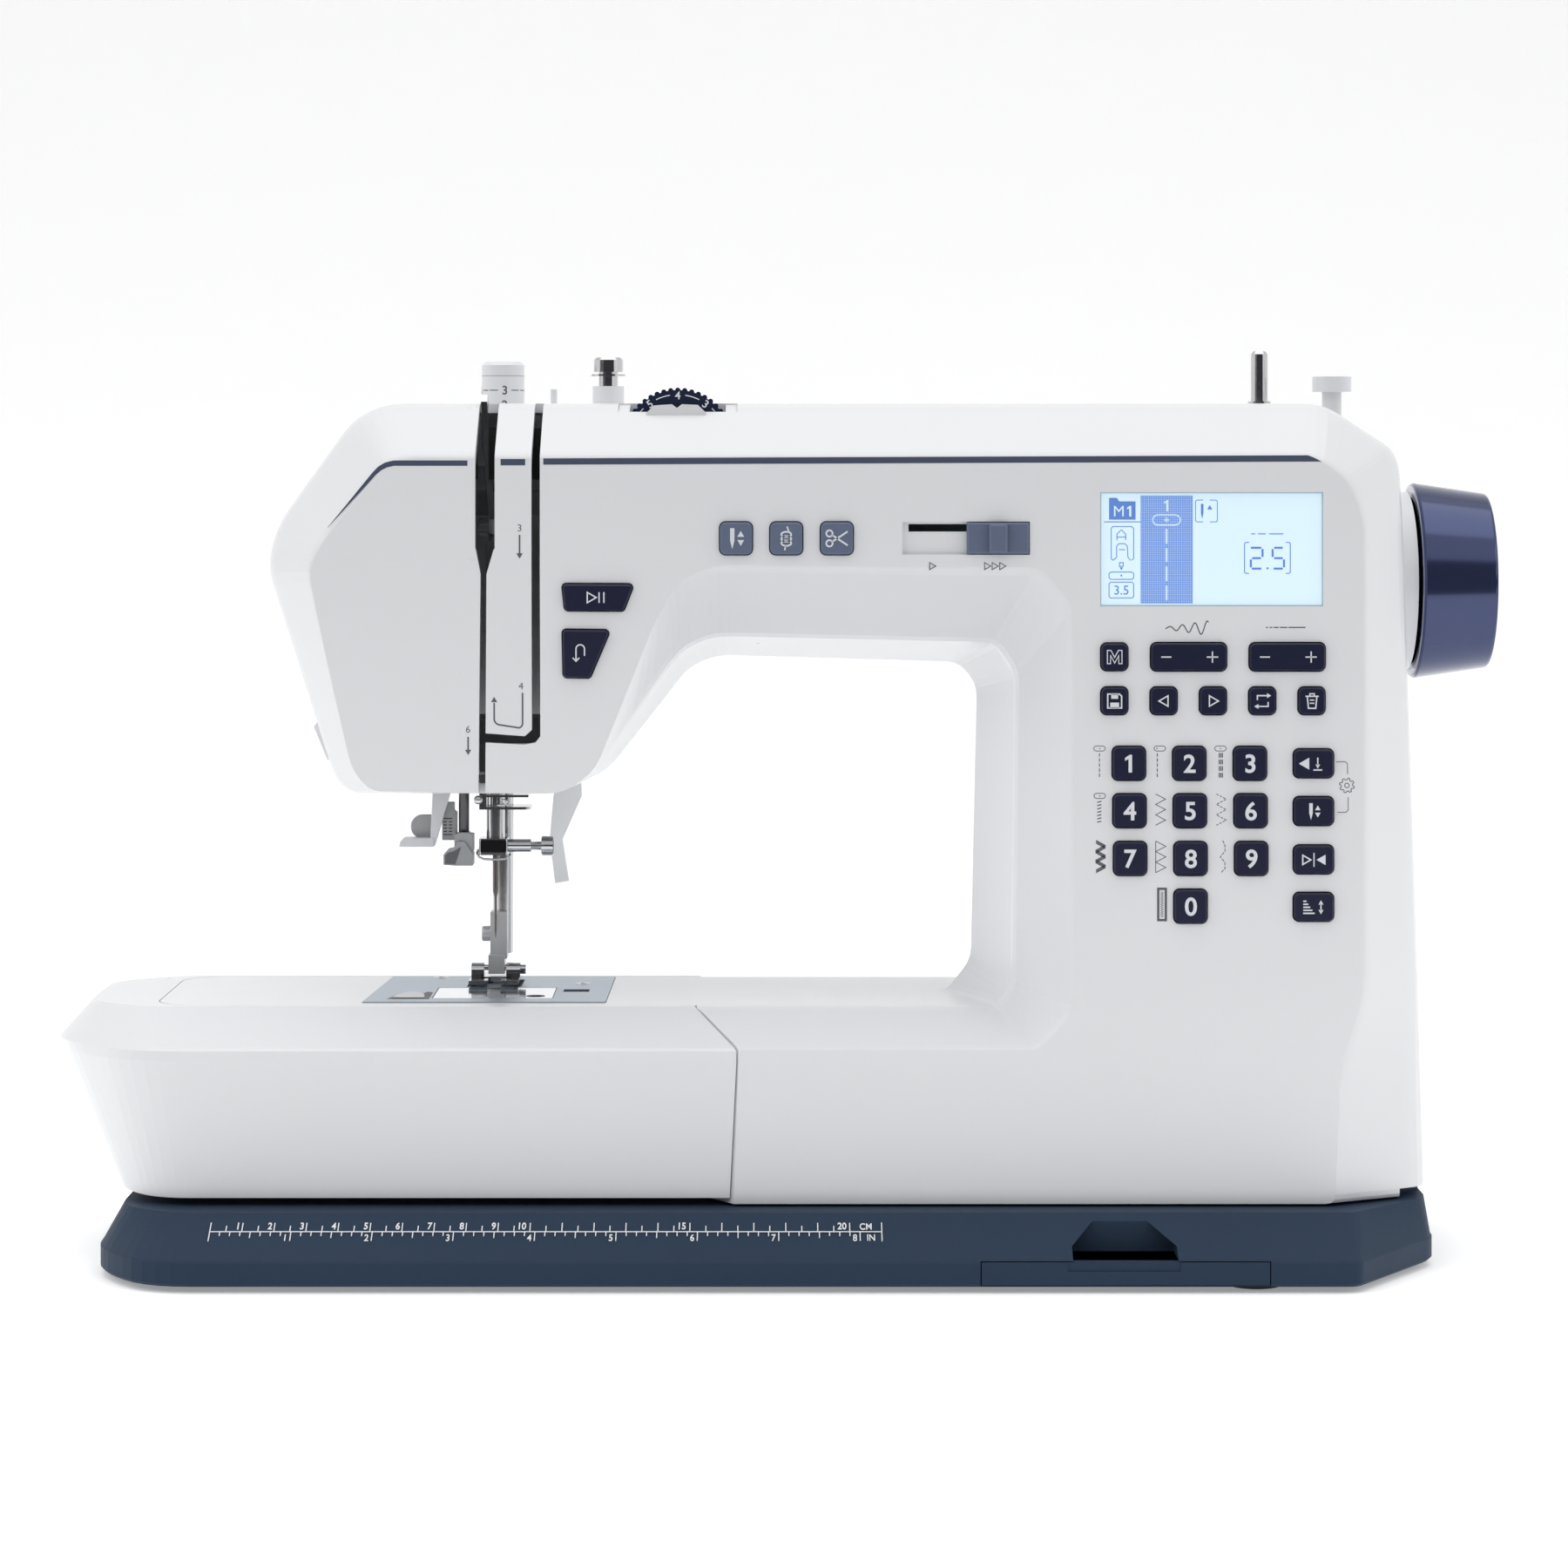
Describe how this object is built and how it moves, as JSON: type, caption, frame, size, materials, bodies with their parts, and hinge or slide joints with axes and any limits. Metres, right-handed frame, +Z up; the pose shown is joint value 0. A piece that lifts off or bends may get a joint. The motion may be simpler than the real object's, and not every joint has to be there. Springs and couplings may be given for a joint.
{
  "type": "sewing machine",
  "caption": "Free-arm electronic sewing machine with keypad, display, handwheel, needle and presser mechanism, slide-off accessory tray and drawer in its wide base.",
  "frame": {"origin": "centre of the overall footprint, on the table the rubber feet stand on", "axes": "+X to the handwheel, +Y to the back, +Z up; the operator sits on the -Y side"},
  "size_m": [0.469, 0.176, 0.295],
  "materials": {
    "white_moulding": "satin white",
    "slate_base": "fine-grained slate blue",
    "navy_key": "dark navy, satin",
    "grey_blue_key": "grey blue, satin",
    "navy_wheel": "dark navy, glossy",
    "black_rubber": "matte",
    "cast_frame": "as cast",
    "stitch_plate": "satin",
    "clear_cover": "clear",
    "hard_steel": "ground",
    "black_hook": "matte",
    "bright_chrome": "polished",
    "pale_grey_clip": "satin",
    "display": "lit",
    "black_switch": "satin"
  },
  "bodies": {
    "casing": {"base": "slate_base", "rubber_feet": "black_rubber", "front_cover": "white_moulding", "rear_cover": "white_moulding", "free_arm_cover": "white_moulding", "machine_frame": "cast_frame", "needle_plate": "stitch_plate", "thread_guides": "bright_chrome", "bobbin_stop": "white_moulding", "display_panel": "display"},
    "handwheel": {"handwheel": "navy_wheel", "upper_shaft": "hard_steel"},
    "lower_shaft": {"lower_shaft": "hard_steel"},
    "rotary_hook": {"rotary_hook": "black_hook"},
    "needle_bar": {"needle_bar": "bright_chrome", "needle_clamp": "bright_chrome", "needle": "bright_chrome"},
    "take_up_lever": {"take_up_lever": "bright_chrome"},
    "presser_lifter": {"presser_lifter": "white_moulding"},
    "presser_bar": {"presser_bar": "bright_chrome", "presser_ankle": "bright_chrome"},
    "presser_foot": {"presser_foot": "bright_chrome"},
    "needle_threader": {"needle_threader": "pale_grey_clip"},
    "feed_dogs": {"feed_dogs": "hard_steel"},
    "bobbin_cover": {"bobbin_cover": "clear_cover"},
    "accessory_tray": {"accessory_tray": "white_moulding"},
    "reference_drawer": {"reference_drawer": "slate_base"},
    "tension_dial": {"tension_dial": "navy_wheel"},
    "pressure_knob": {"pressure_knob": "white_moulding"},
    "bobbin_winder": {"bobbin_winder": "bright_chrome"},
    "carry_handle": {"carry_handle": "white_moulding"},
    "speed_slider": {"speed_slider": "grey_blue_key"},
    "power_switch": {"power_switch": "black_switch"},
    "key_start_stop": {"key_start_stop": "navy_key"},
    "key_reverse": {"key_reverse": "navy_key"},
    "key_needle_up_down": {"key_needle_up_down": "grey_blue_key"},
    "key_tie_off": {"key_tie_off": "grey_blue_key"},
    "key_thread_snips": {"key_thread_snips": "grey_blue_key"},
    "rocker_stitch_width": {"rocker_stitch_width": "navy_key"},
    "rocker_stitch_length": {"rocker_stitch_length": "navy_key"},
    "key_memory": {"key_memory": "navy_key"},
    "key_save": {"key_save": "navy_key"},
    "key_previous": {"key_previous": "navy_key"},
    "key_next": {"key_next": "navy_key"},
    "key_restart": {"key_restart": "navy_key"},
    "key_delete": {"key_delete": "navy_key"},
    "key_stop_position": {"key_stop_position": "navy_key"},
    "key_needle_position": {"key_needle_position": "navy_key"},
    "key_mirror": {"key_mirror": "navy_key"},
    "key_density": {"key_density": "navy_key"},
    "key_1": {"key_1": "navy_key"},
    "key_2": {"key_2": "navy_key"},
    "key_3": {"key_3": "navy_key"},
    "key_4": {"key_4": "navy_key"},
    "key_5": {"key_5": "navy_key"},
    "key_6": {"key_6": "navy_key"},
    "key_7": {"key_7": "navy_key"},
    "key_8": {"key_8": "navy_key"},
    "key_9": {"key_9": "navy_key"},
    "key_0": {"key_0": "navy_key"}
  },
  "joints": [
    {"name": "handwheel_turn", "type": "hinge", "parent": "casing", "child": "handwheel", "pos_m": [0.21, 0.007, 0.2184], "axis": [1, 0, 0], "continuous": true},
    {"name": "needle_bar_stroke", "type": "slide", "parent": "casing", "child": "needle_bar", "axis": [0, 0, 1], "range_m": [-0.03, 0]},
    {"name": "take_up_lever_swing", "type": "hinge", "parent": "casing", "child": "take_up_lever", "pos_m": [-0.0936, 0.005, 0.236], "axis": [1, 0, 0], "range_deg": [0, 45]},
    {"name": "presser_lifter_raise", "type": "hinge", "parent": "casing", "child": "presser_lifter", "pos_m": [-0.073, 0.06, 0.16], "axis": [1, 0, 0], "range_deg": [0, 60]},
    {"name": "presser_bar_lift", "type": "slide", "parent": "casing", "child": "presser_bar", "axis": [0, 0, 1], "range_m": [0, 0.006]},
    {"name": "presser_foot_rock", "type": "hinge", "parent": "presser_bar", "child": "presser_foot", "pos_m": [-0.0937, 0.0295, 0.0876], "axis": [1, 0, 0], "range_deg": [-1.5, 1.5]},
    {"name": "accessory_tray_pull", "type": "slide", "parent": "casing", "child": "accessory_tray", "axis": [-1, 0, 0], "range_m": [0, 0.19]},
    {"name": "reference_drawer_pull", "type": "slide", "parent": "casing", "child": "reference_drawer", "axis": [0, -1, 0], "range_m": [0, 0.075]},
    {"name": "carry_handle_lift", "type": "hinge", "parent": "casing", "child": "carry_handle", "pos_m": [0.061, 0.042, 0.273], "axis": [-1, 0, 0], "range_deg": [0, 90]},
    {"name": "needle_threader_press", "type": "slide", "parent": "casing", "child": "needle_threader", "axis": [0, 0, -1], "range_m": [0, 0.024], "stiffness_N_per_m": 40, "springref_m": -0.004},
    {"name": "bobbin_cover_lift", "type": "hinge", "parent": "casing", "child": "bobbin_cover", "pos_m": [-0.0922, -0.0157, 0.08275], "axis": [1, 0, 0], "range_deg": [0, 100]},
    {"name": "feed_dogs_travel", "type": "slide", "parent": "casing", "child": "feed_dogs", "axis": [0, 1, 0], "range_m": [-0.0018, 0.0018]},
    {"name": "lower_shaft_turn", "type": "hinge", "parent": "casing", "child": "lower_shaft", "pos_m": [0, 0.0203, 0.053], "axis": [1, 0, 0], "continuous": true},
    {"name": "rotary_hook_turn", "type": "hinge", "parent": "casing", "child": "rotary_hook", "pos_m": [-0.0937, -0.001, 0.06], "axis": [0, 0, 1], "continuous": true},
    {"name": "tension_dial_turn", "type": "hinge", "parent": "casing", "child": "tension_dial", "pos_m": [-0.0313, -0.035, 0.2634], "axis": [0, 1, 0], "range_deg": [-60, 60]},
    {"name": "pressure_knob_turn", "type": "hinge", "parent": "casing", "child": "pressure_knob", "pos_m": [-0.092, 0.036, 0.28], "axis": [0, 0, 1], "range_deg": [-90, 90]},
    {"name": "bobbin_winder_engage", "type": "slide", "parent": "casing", "child": "bobbin_winder", "axis": [1, 0, 0], "range_m": [0, 0.008]},
    {"name": "speed_slider_travel", "type": "slide", "parent": "casing", "child": "speed_slider", "axis": [-1, 0, 0], "range_m": [0, 0.0196]},
    {"name": "power_switch_rock", "type": "hinge", "parent": "casing", "child": "power_switch", "pos_m": [0.2, 0.034, 0.092], "axis": [0, -1, 0], "range_deg": [0, 12]},
    {"name": "key_start_stop_press", "type": "slide", "parent": "casing", "child": "key_start_stop", "axis": [0, 0.9986, 0.0533], "range_m": [0, 0.0012], "stiffness_N_per_m": 200, "springref_m": -0.001},
    {"name": "key_reverse_press", "type": "slide", "parent": "casing", "child": "key_reverse", "axis": [0, 0.9986, 0.0533], "range_m": [0, 0.0012], "stiffness_N_per_m": 200, "springref_m": -0.001},
    {"name": "rocker_stitch_width_tilt", "type": "hinge", "parent": "casing", "child": "rocker_stitch_width", "pos_m": [0.1308, -0.056, 0.1959], "axis": [0, 0, 1], "range_deg": [-2, 2], "stiffness_Nm_per_rad": 0.03},
    {"name": "rocker_stitch_length_tilt", "type": "hinge", "parent": "casing", "child": "rocker_stitch_length", "pos_m": [0.162, -0.056, 0.1959], "axis": [0, 0, 1], "range_deg": [-2, 2], "stiffness_Nm_per_rad": 0.03},
    {"name": "key_needle_up_down_press", "type": "slide", "parent": "casing", "child": "key_needle_up_down", "axis": [0, 1, 0], "range_m": [0, 0.0012], "stiffness_N_per_m": 200, "springref_m": -0.001},
    {"name": "key_tie_off_press", "type": "slide", "parent": "casing", "child": "key_tie_off", "axis": [0, 1, 0], "range_m": [0, 0.0012], "stiffness_N_per_m": 200, "springref_m": -0.001},
    {"name": "key_thread_snips_press", "type": "slide", "parent": "casing", "child": "key_thread_snips", "axis": [0, 1, 0], "range_m": [0, 0.0012], "stiffness_N_per_m": 200, "springref_m": -0.001},
    {"name": "key_memory_press", "type": "slide", "parent": "casing", "child": "key_memory", "axis": [0, 1, 0], "range_m": [0, 0.0012], "stiffness_N_per_m": 200, "springref_m": -0.001},
    {"name": "key_save_press", "type": "slide", "parent": "casing", "child": "key_save", "axis": [0, 1, 0], "range_m": [0, 0.0012], "stiffness_N_per_m": 200, "springref_m": -0.001},
    {"name": "key_previous_press", "type": "slide", "parent": "casing", "child": "key_previous", "axis": [0, 1, 0], "range_m": [0, 0.0012], "stiffness_N_per_m": 200, "springref_m": -0.001},
    {"name": "key_next_press", "type": "slide", "parent": "casing", "child": "key_next", "axis": [0, 1, 0], "range_m": [0, 0.0012], "stiffness_N_per_m": 200, "springref_m": -0.001},
    {"name": "key_restart_press", "type": "slide", "parent": "casing", "child": "key_restart", "axis": [0, 1, 0], "range_m": [0, 0.0012], "stiffness_N_per_m": 200, "springref_m": -0.001},
    {"name": "key_delete_press", "type": "slide", "parent": "casing", "child": "key_delete", "axis": [0, 1, 0], "range_m": [0, 0.0012], "stiffness_N_per_m": 200, "springref_m": -0.001},
    {"name": "key_stop_position_press", "type": "slide", "parent": "casing", "child": "key_stop_position", "axis": [0, 1, 0], "range_m": [0, 0.0012], "stiffness_N_per_m": 200, "springref_m": -0.001},
    {"name": "key_needle_position_press", "type": "slide", "parent": "casing", "child": "key_needle_position", "axis": [0, 1, 0], "range_m": [0, 0.0012], "stiffness_N_per_m": 200, "springref_m": -0.001},
    {"name": "key_mirror_press", "type": "slide", "parent": "casing", "child": "key_mirror", "axis": [0, 1, 0], "range_m": [0, 0.0012], "stiffness_N_per_m": 200, "springref_m": -0.001},
    {"name": "key_density_press", "type": "slide", "parent": "casing", "child": "key_density", "axis": [0, 1, 0], "range_m": [0, 0.0012], "stiffness_N_per_m": 200, "springref_m": -0.001},
    {"name": "key_1_press", "type": "slide", "parent": "casing", "child": "key_1", "axis": [0, 1, 0], "range_m": [0, 0.0012], "stiffness_N_per_m": 200, "springref_m": -0.001},
    {"name": "key_2_press", "type": "slide", "parent": "casing", "child": "key_2", "axis": [0, 1, 0], "range_m": [0, 0.0012], "stiffness_N_per_m": 200, "springref_m": -0.001},
    {"name": "key_3_press", "type": "slide", "parent": "casing", "child": "key_3", "axis": [0, 1, 0], "range_m": [0, 0.0012], "stiffness_N_per_m": 200, "springref_m": -0.001},
    {"name": "key_4_press", "type": "slide", "parent": "casing", "child": "key_4", "axis": [0, 1, 0], "range_m": [0, 0.0012], "stiffness_N_per_m": 200, "springref_m": -0.001},
    {"name": "key_5_press", "type": "slide", "parent": "casing", "child": "key_5", "axis": [0, 1, 0], "range_m": [0, 0.0012], "stiffness_N_per_m": 200, "springref_m": -0.001},
    {"name": "key_6_press", "type": "slide", "parent": "casing", "child": "key_6", "axis": [0, 1, 0], "range_m": [0, 0.0012], "stiffness_N_per_m": 200, "springref_m": -0.001},
    {"name": "key_7_press", "type": "slide", "parent": "casing", "child": "key_7", "axis": [0, 1, 0], "range_m": [0, 0.0012], "stiffness_N_per_m": 200, "springref_m": -0.001},
    {"name": "key_8_press", "type": "slide", "parent": "casing", "child": "key_8", "axis": [0, 1, 0], "range_m": [0, 0.0012], "stiffness_N_per_m": 200, "springref_m": -0.001},
    {"name": "key_9_press", "type": "slide", "parent": "casing", "child": "key_9", "axis": [0, 1, 0], "range_m": [0, 0.0012], "stiffness_N_per_m": 200, "springref_m": -0.001},
    {"name": "key_0_press", "type": "slide", "parent": "casing", "child": "key_0", "axis": [0, 1, 0], "range_m": [0, 0.0012], "stiffness_N_per_m": 200, "springref_m": -0.001}
  ],
  "couplings": [
    {"joint": "lower_shaft_turn", "follows": "handwheel_turn", "ratio": 1},
    {"joint": "rotary_hook_turn", "follows": "handwheel_turn", "ratio": 2},
    {"joint": "presser_lifter_raise", "follows": "presser_bar_lift", "rad_per_m": 174.5}
  ]
}
